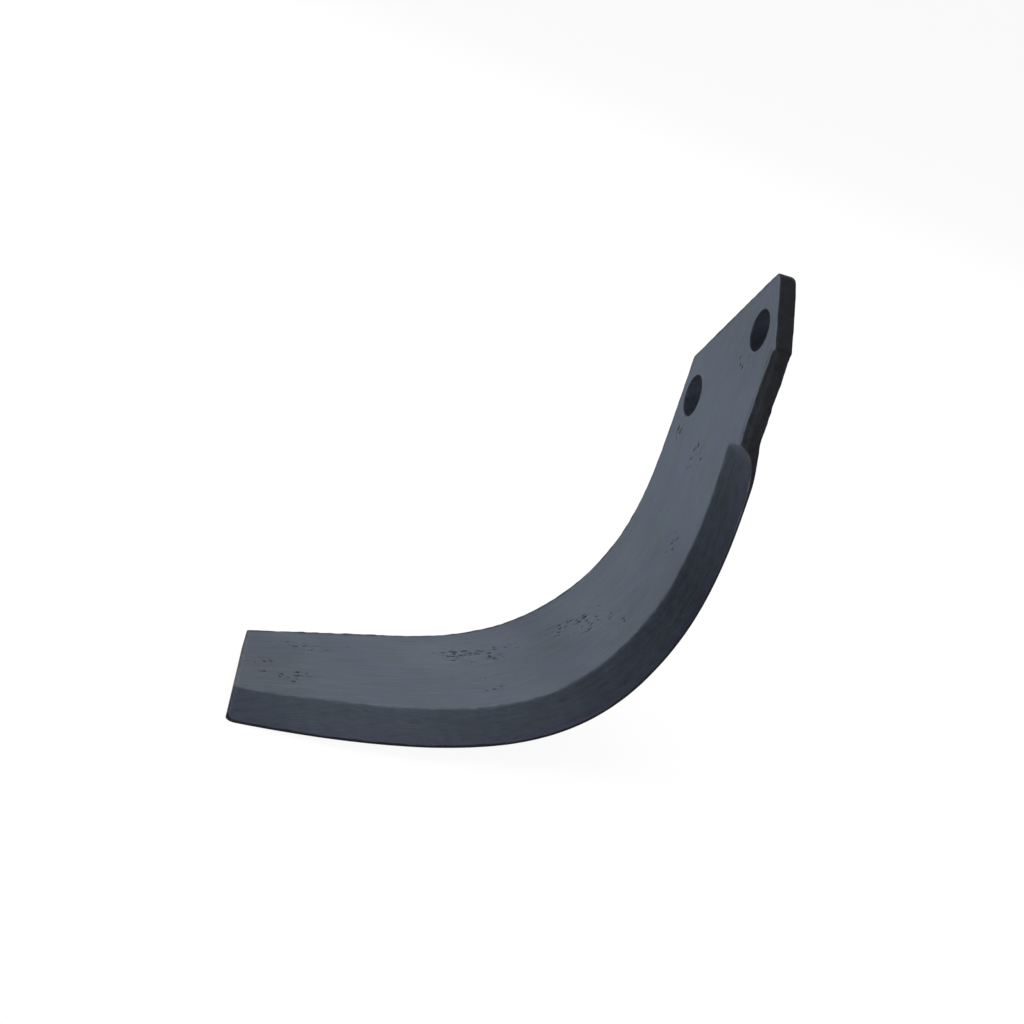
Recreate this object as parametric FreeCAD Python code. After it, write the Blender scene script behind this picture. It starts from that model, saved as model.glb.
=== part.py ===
import FreeCAD, Part

import math
import os

# Rotary tiller blade: one flat bar of spring steel, bolted to a rotor flange by two bolts,
# forged to a bevelled cutting edge on one long side and bent sideways into a level wing.
#
# Frame (mm): the origin lies midway between the bolt holes, on the seating face.
#   +Y runs along the bolts, out of the seating face (the convex side of the blade).
#   +Z is up with the blade at the bottom of its stroke, where the tip half of the wing is level.
#   +X runs along the bend lines, towards the cutting edge.
#
# The blade is laid out flat first. In the flat blank, u runs along +X and w straight down (-Z).
# A point of the blank also has a depth: 0 on the concave face and PLATE on the seating face.

V = FreeCAD.Vector

# --- stock and bolting -------------------------------------------------------------------
PLATE = 7.0                         # thickness of the flat bar
BOLT_SPACING = 57.0                 # between the two bolt centres
BOLT_R = 7.0                        # M14 bolt
BOLT_CLEARANCE = 1.0                # radial clearance of the punched holes
HOLE_R = BOLT_R + BOLT_CLEARANCE
BOLT_LINE_TILT = 43.5               # degrees the bolt line rises towards +X
END_MARGIN = 18.0                   # bolt line to the shank's end edge
SIDE_MARGIN = 15.0                  # outer bolt to the shank's short straight side
CORNER_SETBACK = 1.5                # inner bolt to the corner of the end edge, along the bolt line
END_CORNER_R = 3.5                  # rounding of the outer end corner

# --- the strip, measured along its inner edge from the end corner ----------------------------
NECK_ANGLE = 51.5                   # strip direction below the bolt line
NECK_LENGTH = 58.0                  # straight run before the strip sweeps outwards
SWEEP_R = 235.0                     # radius of the swept inner edge
SWEEP_ANGLE = 19.5
SHANK_WIDTH = 78.0
BLADE_WIDTH = 84.5                  # forging out the bevel widens the bar
SHOULDER_START = 11.5               # where the widening begins
SHOULDER_LENGTH = 20.0
TAPER_START = 228.0                 # where the cutting edge starts to curve back to the tip
TAPER_R = 170.0
TIP_STATION = 258.5                 # inner corner of the tip
TIP_SKEW = 38.0                     # degrees the tip edge leans from square
TIP_CORNER_R = 3.0

# --- the sideways bend -------------------------------------------------------------------
BEND_START = 34.0                   # distance of the first bend line below the origin
EASE_IN = 50.0                      # length over which the curvature grows
STEADY = 49.0                       # length of full curvature
EASE_OUT = 68.0                     # length over which the curvature fades
BEND_R = 68.0                       # inside radius of the full curvature
NEUTRAL_R = BEND_R + PLATE / 2
EASE_OUT_START = EASE_IN + STEADY
BEND_LENGTH = EASE_OUT_START + EASE_OUT

# --- the bevel ---------------------------------------------------------------------------
EDGE_LAND = 0.8                     # thickness left at the cutting edge
BEVEL_WIDTH = 18.5
BEVEL_DEPTH = PLATE - EDGE_LAND
BEVEL_SLOPE = BEVEL_DEPTH / BEVEL_WIDTH
BEVEL_START = 17.3                  # where the bevel leaves the full-thickness edge
RUN_OUT_WALL = 3.0                  # depth of the steep start of the bevel
RUN_OUT_WALL_LENGTH = 5.5           # over which the steep start eases out
RUN_OUT_FADE = 9.5                  # length scale over which the remaining depth is reached
RUN_OUT_SLOPE = 0.238               # shallower slope of the bevel at its start
RUN_OUT_LENGTH = 27.0               # length over which the slope steepens to BEVEL_SLOPE
FORGED_EDGE_R = 2.8                 # rounding of the shank's edge above the bevel

# --- construction ------------------------------------------------------------------------
SEAM = 30.0                         # the plate below this line is made by bending
STATION_STEP = 6.5                  # spacing of the sections along the bend
OVERRUN = 8.0                       # how far cutting shapes pass the solid
BEVEL_OVER = 3.0                    # how far the bevel cutter rises above the concave face


def blank_point(station, offset):
    """Return (u, w) of a point of the flat strip: station along the inner edge, offset across."""
    tilt = math.radians(BOLT_LINE_TILT)
    start = math.radians(180.0 + NECK_ANGLE)
    run_in = min(station, NECK_LENGTH)
    swept = min(max(station - NECK_LENGTH, 0.0), SWEEP_R * math.radians(SWEEP_ANGLE))
    run_out = max(station - NECK_LENGTH - SWEEP_R * math.radians(SWEEP_ANGLE), 0.0)
    heading = start + swept / SWEEP_R
    x = -(BOLT_SPACING / 2 + CORNER_SETBACK) + run_in * math.cos(start)
    y = END_MARGIN + run_in * math.sin(start)
    x += SWEEP_R * (math.sin(heading) - math.sin(start)) + run_out * math.cos(heading)
    y += SWEEP_R * (math.cos(start) - math.cos(heading)) + run_out * math.sin(heading)
    x -= offset * math.sin(heading)
    y += offset * math.cos(heading)
    return along_bolt_line(x, y, tilt)


def along_bolt_line(x, y, tilt=math.radians(BOLT_LINE_TILT)):
    """Turn a position along the bolt line (x) and square to it (y) into (u, w) of the blank."""
    return x * math.cos(tilt) - y * math.sin(tilt), -x * math.sin(tilt) - y * math.cos(tilt)


def smooth(value):
    """Rise smoothly from 0 to 1 while value goes from 0 to 1."""
    value = min(max(value, 0.0), 1.0)
    return value * value * (3.0 - 2.0 * value)


def outer_offset(station):
    """Width of the strip at a station: shank, shoulder, blade, and the taper to the tip."""
    widening = smooth((station - SHOULDER_START) / SHOULDER_LENGTH)
    width = SHANK_WIDTH + (BLADE_WIDTH - SHANK_WIDTH) * widening
    return width - max(station - TAPER_START, 0.0) ** 2 / (2 * TAPER_R)


def station_at(w, offset_of):
    """Find the station whose point, at its own offset, lies on the bend line w."""
    low, high = -60.0, 420.0
    for _ in range(60):
        middle = (low + high) / 2
        if blank_point(middle, offset_of(middle))[1] < w:
            low = middle
        else:
            high = middle
    return (low + high) / 2


def inner_edge(_station):
    """Offset of the inner edge, from which the stations are measured."""
    return 0.0


def bend_angle(run):
    """Angle the plate has turned after a run of its neutral line past the first bend line."""
    run = min(max(run, 0.0), BEND_LENGTH)
    rising = min(run, EASE_IN)
    steady = min(max(run - EASE_IN, 0.0), STEADY)
    fading = max(run - EASE_OUT_START, 0.0)
    turned = rising ** 2 / (2 * EASE_IN) + steady + fading - fading ** 2 / (2 * EASE_OUT)
    return turned / NEUTRAL_R


def neutral_line(run, steps=80):
    """Integrate the bend by Simpson's rule: how far down and how far sideways the plate has gone."""
    span = min(run, BEND_LENGTH)
    step = span / steps
    down = 0.0
    side = 0.0
    for i in range(steps + 1):
        weight = 1 if i in (0, steps) else 4 if i % 2 else 2
        down += weight * math.cos(bend_angle(i * step)) * step / 3
        side += weight * math.sin(bend_angle(i * step)) * step / 3
    rest = max(run - BEND_LENGTH, 0.0)
    return down + rest * math.cos(bend_angle(run)), side + rest * math.sin(bend_angle(run))


def bent(u, w, depth):
    """Place a point of the blank on the bent blade."""
    run = w - BEND_START
    if run <= 0:
        return V(u, depth - PLATE, -w)
    down, side = neutral_line(run)
    angle = bend_angle(run)
    off = depth - PLATE / 2
    y = -PLATE / 2 - side + off * math.cos(angle)
    return V(u, y, -(BEND_START + down + off * math.sin(angle)))


def curve(points, parameters):
    """A smooth edge through the points."""
    spline = Part.BSplineCurve()
    spline.interpolate(Points=points, Parameters=parameters)
    return spline.toShape()


def skin(section_of, levels):
    """A solid swept through flat sections, one on each bend line, with ruled side faces."""
    sections = [section_of(w) for w in levels]
    count = len(sections[0])
    rails = []
    for k in range(count):
        rails.append(curve([section[k] for section in sections], levels))
    faces = []
    for k in range(count):
        faces.append(Part.makeRuledSurface(rails[k], rails[(k + 1) % count]))
    for section in (sections[0], sections[-1]):
        faces.append(Part.Face(Part.makePolygon(section + [section[0]])))
    shell = Part.Shell(faces)
    shell.sewShape()
    solid = Part.Solid(shell)
    if solid.Volume < 0:
        solid.reverse()
    return solid


def levels_between(first, last, step):
    """Evenly spaced bend lines from first to last."""
    count = max(2, math.ceil((last - first) / step))
    return [first + (last - first) * i / count for i in range(count + 1)]


def plate_section(w):
    """Four corners of the full-thickness plate on one bend line."""
    inside = blank_point(station_at(w, inner_edge), 0.0)[0]
    station = station_at(w, outer_offset)
    outside = blank_point(station, outer_offset(station))[0]
    return [
        bent(inside, w, 0.0),
        bent(outside, w, 0.0),
        bent(outside, w, PLATE),
        bent(inside, w, PLATE),
    ]


def bevel_depth(station):
    """How deep the bevel cuts at the edge: a steep start, then thinning to the cutting edge."""
    past = station - BEVEL_START
    if past < 0:
        return past
    wall = RUN_OUT_WALL * (1.0 - max(1.0 - past / RUN_OUT_WALL_LENGTH, 0.0) ** 2)
    return wall + (BEVEL_DEPTH - RUN_OUT_WALL) * (1.0 - math.exp(-past / RUN_OUT_FADE))


def bevel_slope(station):
    """Depth for each millimetre of bevel width."""
    share = min(max((station - BEVEL_START) / RUN_OUT_LENGTH, 0.0), 1.0)
    return RUN_OUT_SLOPE + (BEVEL_SLOPE - RUN_OUT_SLOPE) * share


def lean_at(station):
    """Angle between the strip and the straight-down direction of the blank."""
    swept = min(max((station - NECK_LENGTH) / SWEEP_R, 0.0), math.radians(SWEEP_ANGLE))
    return math.radians(NECK_ANGLE + BOLT_LINE_TILT - 90.0) + swept


def bevel_section(w):
    """Triangle removed on one bend line: its long side is the bevel, drawn past both ends."""
    station = station_at(w, outer_offset)
    outside = blank_point(station, outer_offset(station))[0]
    depth = bevel_depth(station)
    slope = bevel_slope(station) * math.cos(lean_at(station))
    top = outside - (depth + BEVEL_OVER) / slope
    low = outside + OVERRUN
    return [
        bent(top, w, -BEVEL_OVER),
        bent(low, w, depth + OVERRUN * slope),
        bent(low, w, -BEVEL_OVER),
    ]


def shank():
    """The flat bolted end: a square corner, the straight neck and the start of the shoulder."""
    inner_station = station_at(SEAM, inner_edge)
    outer_station = station_at(SEAM, outer_offset)
    side = BOLT_SPACING / 2 + SIDE_MARGIN
    end = [
        blank_point(0.0, 0.0),
        along_bolt_line(side, END_MARGIN),
        along_bolt_line(side, neck_height(side)),
        blank_point(SHOULDER_START, SHANK_WIDTH),
    ]
    corners = [bent(u, w, PLATE) for u, w in end]
    inner_seam = bent(*blank_point(inner_station, 0.0), PLATE)
    edges = [Part.makeLine(a, b) for a, b in zip(corners, corners[1:])]
    stations = [SHOULDER_START + (outer_station - SHOULDER_START) * i / 8 for i in range(9)]
    shoulder = [bent(*blank_point(s, outer_offset(s)), PLATE) for s in stations]
    edges.append(curve(shoulder, stations))
    edges.append(Part.makeLine(shoulder[-1], inner_seam))
    edges.append(Part.makeLine(inner_seam, corners[0]))
    plate = Part.Face(Part.Wire(edges)).extrude(V(0, -PLATE, 0))
    plate = plate.makeFillet(END_CORNER_R, [e for e in plate.Edges if runs_through(e, corners[1])])
    forged = [e for e in plate.Edges if on_forged_edge(e, corners[2], shoulder[-1])]
    return plate.makeFillet(FORGED_EDGE_R, forged)


def neck_height(side):
    """Height above the bolt line at which the shank's straight side meets its outer neck edge."""
    start = math.radians(180.0 + NECK_ANGLE)
    x0 = -(BOLT_SPACING / 2 + CORNER_SETBACK) - SHANK_WIDTH * math.sin(start)
    y0 = END_MARGIN + SHANK_WIDTH * math.cos(start)
    return y0 + (side - x0) * math.tan(start)


def runs_through(edge, corner):
    """True for the edge that crosses the plate's thickness at a corner of the shank."""
    return all(math.hypot(v.X - corner.x, v.Z - corner.z) < 1e-3 for v in edge.Vertexes)


def on_forged_edge(edge, corner, seam):
    """True for the concave-face edges of the outer neck, from the side corner to the seam."""
    ends = [v.Point for v in edge.Vertexes]
    front = all(abs(p.y + PLATE) < 1e-6 for p in ends)
    low, high = sorted((corner.z, seam.z))
    outer = all(low - 1e-3 <= p.z <= high + 1e-3 and p.x > 0 for p in ends)
    return front and outer and abs(ends[0].z - ends[-1].z) > 1.0


def tip_cutter():
    """Everything past the skewed tip edge, and the sharp corner where it meets the cutting edge."""
    lean = math.tan(math.radians(TIP_SKEW))
    inner = bent(*blank_point(TIP_STATION, 0.0), 0.0)
    across = bent(*blank_point(TIP_STATION + BLADE_WIDTH * lean, BLADE_WIDTH), 0.0)
    past = bent(*blank_point(TIP_STATION + BLADE_WIDTH, 0.0), 0.0)
    along = (across - inner).normalize()
    through = bent(*blank_point(TIP_STATION, 0.0), PLATE) - inner
    normal = through.normalize()
    away = along.cross(normal)
    if away.dot(past - inner) < 0:
        away = away * -1
    reach = 2 * BLADE_WIDTH
    base = inner - along * BLADE_WIDTH - normal * 2 * OVERRUN
    outline = [base, base + along * 2 * reach, base + along * 2 * reach + away * reach]
    outline.append(base + away * reach)
    waste = Part.Face(Part.makePolygon(outline + [base])).extrude(normal * (PLATE + 4 * OVERRUN))
    return [waste, corner_cutter(inner, along, away, normal)]


def corner_cutter(inner, along, away, normal):
    """The sharp outer corner of the tip, outside a round of TIP_CORNER_R."""
    low, high = TAPER_START, TIP_STATION + BLADE_WIDTH
    for _ in range(60):
        middle = (low + high) / 2
        point = bent(*blank_point(middle, outer_offset(middle)), 0.0)
        if (point - inner).dot(away) < 0:
            low = middle
        else:
            high = middle
    corner = bent(*blank_point(low, outer_offset(low)), 0.0)
    before = bent(*blank_point(low - TIP_CORNER_R, outer_offset(low - TIP_CORNER_R)), 0.0)
    back = along * -1
    up = (before - corner).normalize()
    half = back.getAngle(up) / 2
    tangent = TIP_CORNER_R / math.tan(half)
    bisector = (back + up).normalize()
    crown = corner + bisector * (TIP_CORNER_R / math.sin(half) - TIP_CORNER_R)
    start = corner + back * tangent
    finish = corner + up * tangent
    outside = corner - bisector * OVERRUN
    start_out = start + away * OVERRUN
    finish_out = finish + (outside - corner)
    edges = [
        Part.Arc(start, crown, finish).toShape(),
        Part.makeLine(finish, finish_out),
        Part.makeLine(finish_out, outside),
        Part.makeLine(outside, start_out),
        Part.makeLine(start_out, start),
    ]
    face = Part.Face(Part.Wire(edges))
    face.translate(normal * -OVERRUN)
    return face.extrude(normal * (PLATE + 2 * OVERRUN))


def bolt_hole(side):
    """Punched hole for one bolt, square to the plate."""
    u, w = along_bolt_line(side * BOLT_SPACING / 2, 0.0)
    return Part.makeCylinder(HOLE_R, PLATE + 2, V(u, -PLATE - 1, -w), V(0, 1, 0))


def bevel_levels(last):
    """Bend lines of the bevel cutter, close together where the bevel starts."""
    stations = [BEVEL_START + RUN_OUT_WALL_LENGTH * i / 5 for i in range(-3, 8)]
    stations += [BEVEL_START + RUN_OUT_FADE * i / 3 for i in range(3, 8)]
    near = [blank_point(s, outer_offset(s))[1] for s in sorted(stations)]
    return near + levels_between(near[-1], last, STATION_STEP)[1:]


def blade():
    """The whole blade."""
    last = blank_point(TIP_STATION, 0.0)[1] + BLADE_WIDTH
    wing = skin(plate_section, levels_between(SEAM, last, STATION_STEP))
    body = shank().fuse(wing)
    body = body.cut(skin(bevel_section, bevel_levels(last + OVERRUN)))
    body = body.cut(tip_cutter())
    body = body.cut([bolt_hole(-1), bolt_hole(1)])
    return body.Solids[0] if len(body.Solids) == 1 else body


os.makedirs("parts", exist_ok=True)
tiller_blade = blade()
tiller_blade.exportStep("parts/tiller_blade.step")
print("solids", len(tiller_blade.Solids), "valid", tiller_blade.isValid())
print("volume", round(tiller_blade.Volume / 1000, 2), "cm3", tiller_blade.BoundBox)
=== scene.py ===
"""Rotary tiller blade: a flat blank, bent along its neutral line and dressed as dark forged steel."""

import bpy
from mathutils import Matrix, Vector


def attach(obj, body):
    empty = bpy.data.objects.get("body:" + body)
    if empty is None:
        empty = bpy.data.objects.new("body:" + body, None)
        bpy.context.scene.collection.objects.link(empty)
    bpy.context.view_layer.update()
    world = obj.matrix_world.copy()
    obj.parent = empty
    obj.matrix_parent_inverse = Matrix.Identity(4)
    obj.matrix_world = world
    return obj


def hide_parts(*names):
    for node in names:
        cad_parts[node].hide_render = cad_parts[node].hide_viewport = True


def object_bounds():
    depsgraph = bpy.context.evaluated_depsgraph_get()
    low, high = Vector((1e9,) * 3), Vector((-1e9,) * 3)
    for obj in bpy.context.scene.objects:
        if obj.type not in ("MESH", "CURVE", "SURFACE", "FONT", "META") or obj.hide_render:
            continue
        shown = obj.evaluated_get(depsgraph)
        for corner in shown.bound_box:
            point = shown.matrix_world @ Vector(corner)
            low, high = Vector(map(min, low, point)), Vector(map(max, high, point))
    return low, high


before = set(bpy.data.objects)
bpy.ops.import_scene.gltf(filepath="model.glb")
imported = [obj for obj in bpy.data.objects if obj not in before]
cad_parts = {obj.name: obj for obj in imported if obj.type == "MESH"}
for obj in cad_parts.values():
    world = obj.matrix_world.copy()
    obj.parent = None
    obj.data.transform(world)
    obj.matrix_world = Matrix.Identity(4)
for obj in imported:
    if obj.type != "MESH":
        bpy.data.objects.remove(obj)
CAD_BOX = [list(corner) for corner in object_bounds()]

import logging
import math
from dataclasses import dataclass, field
from enum import Enum
from typing import Callable, ClassVar, Sequence

import bmesh
import bpy
import numpy as np
from mathutils import Matrix, Vector, geometry

log = logging.getLogger("tiller_blade")

NODE = "tiller_blade"
BODY = "root"
MM = 0.001
UV_PER_MM = 0.01


class Mask(Enum):
    """Point attributes that tell the finish where on the blade it is."""

    # Lighter edges and crease: partly abrasion, partly painted highlight.
    WEAR = "edge_wear"
    BEVEL = "bevel_face"
    RIM = "cut_rim"
    FORGE = "forge_depth"
    BAND = "forged_band"
    PITTED = "pitted_patch"
    LIP = "cutting_lip"


class Side(Enum):
    """The five sides of the outline, in order."""

    END = 0
    SHORT = 1
    OUTER = 2
    TIP = 3
    INNER = 4


class Face(Enum):
    """The two broad faces of the bar."""

    CONCAVE = "concave"
    SEAT = "seat"


# ------------------------------------------------------------------------------------------
# Node trees
# ------------------------------------------------------------------------------------------


class Value:
    """A socket that takes part in Python arithmetic by adding Math nodes to its tree."""

    def __init__(self, tree: "Tree", socket: bpy.types.NodeSocket) -> None:
        """Wrap a socket.

        Args:
            tree: the tree that the socket belongs to.
            socket: an output socket of one of the tree's nodes.
        """
        self.tree = tree
        self.socket = socket

    def _math(self, operation: str, *values: object) -> "Value":
        """Add one Math node and return its result."""
        return self.tree.node("ShaderNodeMath", {"operation": operation}, dict(enumerate(values)))

    def __add__(self, other: object) -> "Value":
        """Add."""
        return self._math("ADD", self, other)

    def __radd__(self, other: object) -> "Value":
        """Add, reflected."""
        return self._math("ADD", other, self)

    def __sub__(self, other: object) -> "Value":
        """Subtract."""
        return self._math("SUBTRACT", self, other)

    def __rsub__(self, other: object) -> "Value":
        """Subtract, reflected."""
        return self._math("SUBTRACT", other, self)

    def __mul__(self, other: object) -> "Value":
        """Multiply."""
        return self._math("MULTIPLY", self, other)

    def __rmul__(self, other: object) -> "Value":
        """Multiply, reflected."""
        return self._math("MULTIPLY", other, self)

    def __truediv__(self, other: object) -> "Value":
        """Divide."""
        return self._math("DIVIDE", self, other)

    def __rtruediv__(self, other: object) -> "Value":
        """Divide, reflected."""
        return self._math("DIVIDE", other, self)

    def __neg__(self) -> "Value":
        """Change sign."""
        return self._math("MULTIPLY", self, -1.0)

    def sine(self) -> "Value":
        """Sine of an angle in radians."""
        return self._math("SINE", self)

    def cosine(self) -> "Value":
        """Cosine of an angle in radians."""
        return self._math("COSINE", self)

    def least(self, other: object) -> "Value":
        """The smaller of two values."""
        return self._math("MINIMUM", self, other)

    def most(self, other: object) -> "Value":
        """The larger of two values."""
        return self._math("MAXIMUM", self, other)

    def within(self, low: object, high: object) -> "Value":
        """Keep the value between two limits."""
        return self.most(low).least(high)

    def ramp(self, low: float, high: float) -> "Value":
        """Rise smoothly from 0 at low to 1 at high.

        Args:
            low: value that gives 0.
            high: value that gives 1.

        Returns:
            The eased value, held between 0 and 1.
        """
        settings = {"interpolation_type": "SMOOTHSTEP"}
        return self.tree.node("ShaderNodeMapRange", settings, {"Value": self, 1: low, 2: high})


class Tree:
    """A node tree with one way of adding a node."""

    def __init__(self, tree: bpy.types.NodeTree) -> None:
        """Wrap a node tree.

        Args:
            tree: shader or geometry tree to fill.
        """
        self.tree = tree

    def node(
        self,
        kind: str,
        settings: dict[str, object] | None = None,
        inputs: dict[object, object] | None = None,
        out: object = 0,
    ) -> Value:
        """Add a node.

        Args:
            kind: type name of the node.
            settings: node properties, such as a Math node's operation, set before the sockets are filled.
            inputs: socket name or number to a value, a wrapped socket or a number.
            out: name or number of the output to return.

        Returns:
            The chosen output, ready for arithmetic.
        """
        made = self.tree.nodes.new(kind)
        for key, value in (settings or {}).items():
            setattr(made, key, value)
        for key, value in (inputs or {}).items():
            self.feed(made.inputs[key], value)
        if not made.outputs:
            return Value(self, None)
        return Value(self, made.outputs[out])

    def feed(self, socket: bpy.types.NodeSocket, value: object) -> None:
        """Link a wrapped socket to an input, or set the input's own value."""
        if isinstance(value, Value):
            self.tree.links.new(value.socket, socket)
        else:
            socket.default_value = value


PIT_CELLS = (34.0, 58.0, 0.0)
PIT_GROUPS = 0.24


def scale_pits(tree: Tree, strip: Value, patch: Value) -> Value:
    """Find the scale pits, for the shape and the finish alike.

    Args:
        tree: shader or geometry tree.
        strip: place along and across the strip, in hundreds of mm.
        patch: share of pits at that place.

    Returns:
        1 in a pit, 0 between the pits.
    """
    cells = tree.node("ShaderNodeVectorMath", {"operation": "MULTIPLY"}, {0: strip, 1: PIT_CELLS})
    fine = {"Vector": cells, "Scale": 1.0, "Detail": 3.0, "Roughness": 0.6}
    spots = tree.node("ShaderNodeTexNoise", None, fine)
    groups = tree.node("ShaderNodeTexNoise", None, {"Vector": cells, "Scale": PIT_GROUPS, "Detail": 2.0})
    there = patch * groups.ramp(0.36, 0.6)
    return (spots + there * 0.13).ramp(0.65, 0.72) * there.ramp(0.05, 0.4)


# ------------------------------------------------------------------------------------------
# The flat blank
# ------------------------------------------------------------------------------------------


def smooth(value: np.ndarray | float) -> np.ndarray:
    """Rise smoothly from 0 to 1 while value goes from 0 to 1."""
    held = np.clip(value, 0.0, 1.0)
    return held * held * (3.0 - 2.0 * held)


@dataclass(frozen=True)
class Blank:
    """Outline of the flat strip in mm: u towards the cutting edge, w down from the bolts."""

    plate: float = 7.0
    bolt_spacing: float = 57.0
    hole_r: float = 8.0
    bolt_line_tilt: float = 43.5
    end_margin: float = 18.0
    side_margin: float = 15.0
    corner_setback: float = 1.5
    neck_angle: float = 51.5
    neck_length: float = 58.0
    sweep_r: float = 235.0
    sweep_angle: float = 19.5
    shank_width: float = 78.0
    blade_width: float = 84.5
    shoulder_start: float = 11.5
    shoulder_length: float = 20.0
    taper_start: float = 228.0
    taper_r: float = 170.0
    tip_station: float = 258.5
    tip_skew: float = 38.0

    def along_bolts(self, x: np.ndarray, y: np.ndarray) -> np.ndarray:
        """Turn positions along and square to the bolt line into (u, w) rows."""
        tilt = math.radians(self.bolt_line_tilt)
        u = x * math.cos(tilt) - y * math.sin(tilt)
        w = -x * math.sin(tilt) - y * math.cos(tilt)
        return np.stack(np.broadcast_arrays(u, w), -1)

    def point(self, station: np.ndarray, offset: np.ndarray) -> np.ndarray:
        """Place points of the strip.

        Args:
            station: distance along the inner edge.
            offset: distance across the strip.

        Returns:
            Rows of (u, w).
        """
        station = np.asarray(station, float)
        start = math.radians(180.0 + self.neck_angle)
        turn = math.radians(self.sweep_angle)
        run_in = np.minimum(station, self.neck_length)
        swept = np.clip(station - self.neck_length, 0.0, self.sweep_r * turn)
        run_out = np.maximum(station - self.neck_length - self.sweep_r * turn, 0.0)
        heading = start + swept / self.sweep_r
        x = -(self.bolt_spacing / 2 + self.corner_setback) + run_in * math.cos(start)
        y = self.end_margin + run_in * math.sin(start)
        x = x + self.sweep_r * (np.sin(heading) - math.sin(start)) + run_out * np.cos(heading)
        y = y + self.sweep_r * (math.cos(start) - np.cos(heading)) + run_out * np.sin(heading)
        return self.along_bolts(x - offset * np.sin(heading), y + offset * np.cos(heading))

    def station_of(self, uw: np.ndarray) -> np.ndarray:
        """Find (station, offset) of points of the blank.

        Args:
            uw: rows of (u, w).

        Returns:
            Rows of (station, offset).
        """
        origin = self.point(0.0, 0.0)
        turn = math.radians(self.sweep_angle)
        first = self.point(1.0, 0.0) - origin
        across = self.point(0.0, 1.0) - origin
        bend = self.point(self.neck_length, 0.0)
        centre = bend + across * self.sweep_r
        finish = self.neck_length + self.sweep_r * turn
        last = self.point(finish, 0.0)
        along_last = self.point(finish + 1.0, 0.0) - last
        across_last = self.point(finish, 1.0) - last
        away = uw - centre
        angle = np.arctan2(away @ first, -(away @ across))
        reach = np.hypot(away[:, 0], away[:, 1])
        station = np.where(angle < 0, (uw - origin) @ first, self.neck_length + self.sweep_r * angle)
        offset = np.where(angle < 0, (uw - origin) @ across, self.sweep_r - reach)
        past = angle > turn
        station = np.where(past, finish + (uw - last) @ along_last, station)
        offset = np.where(past, (uw - last) @ across_last, offset)
        return np.stack([station, offset], -1)

    def width(self, station: np.ndarray) -> np.ndarray:
        """Width of the strip: shank, shoulder, blade, and the taper to the tip."""
        widening = smooth((np.asarray(station, float) - self.shoulder_start) / self.shoulder_length)
        full = self.shank_width + (self.blade_width - self.shank_width) * widening
        return full - np.maximum(station - self.taper_start, 0.0) ** 2 / (2 * self.taper_r)

    def lean(self, station: np.ndarray) -> np.ndarray:
        """Angle between the strip and the straight-down direction."""
        turn = math.radians(self.sweep_angle)
        swept = np.clip((np.asarray(station, float) - self.neck_length) / self.sweep_r, 0.0, turn)
        return math.radians(self.neck_angle + self.bolt_line_tilt - 90.0) + swept

    def neck_corner_station(self) -> float:
        """Station of the corner between the shank's short side and its outer neck."""
        start = math.radians(180.0 + self.neck_angle)
        side = self.bolt_spacing / 2 + self.side_margin
        x0 = -(self.bolt_spacing / 2 + self.corner_setback) - self.shank_width * math.sin(start)
        return (side - x0) / math.cos(start)

    def tip_outer_station(self) -> float:
        """Station at which the skewed tip edge meets the cutting edge."""
        lean = math.tan(math.radians(self.tip_skew))
        low, high = self.taper_start, self.tip_station + self.blade_width
        for _ in range(50):
            middle = (low + high) / 2
            past = middle > self.tip_station + float(self.width(middle)) * lean
            low, high = (low, middle) if past else (middle, high)
        return low

    def end_corner(self) -> np.ndarray:
        """Corner of the shank's end and its short side as (u, w)."""
        return self.along_bolts(np.array(self.bolt_spacing / 2 + self.side_margin), np.array(self.end_margin))

    def bolt_centre(self, side: int) -> np.ndarray:
        """Centre of one bolt hole as (u, w)."""
        return self.along_bolts(np.array(side * self.bolt_spacing / 2), np.array(0.0))


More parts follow.
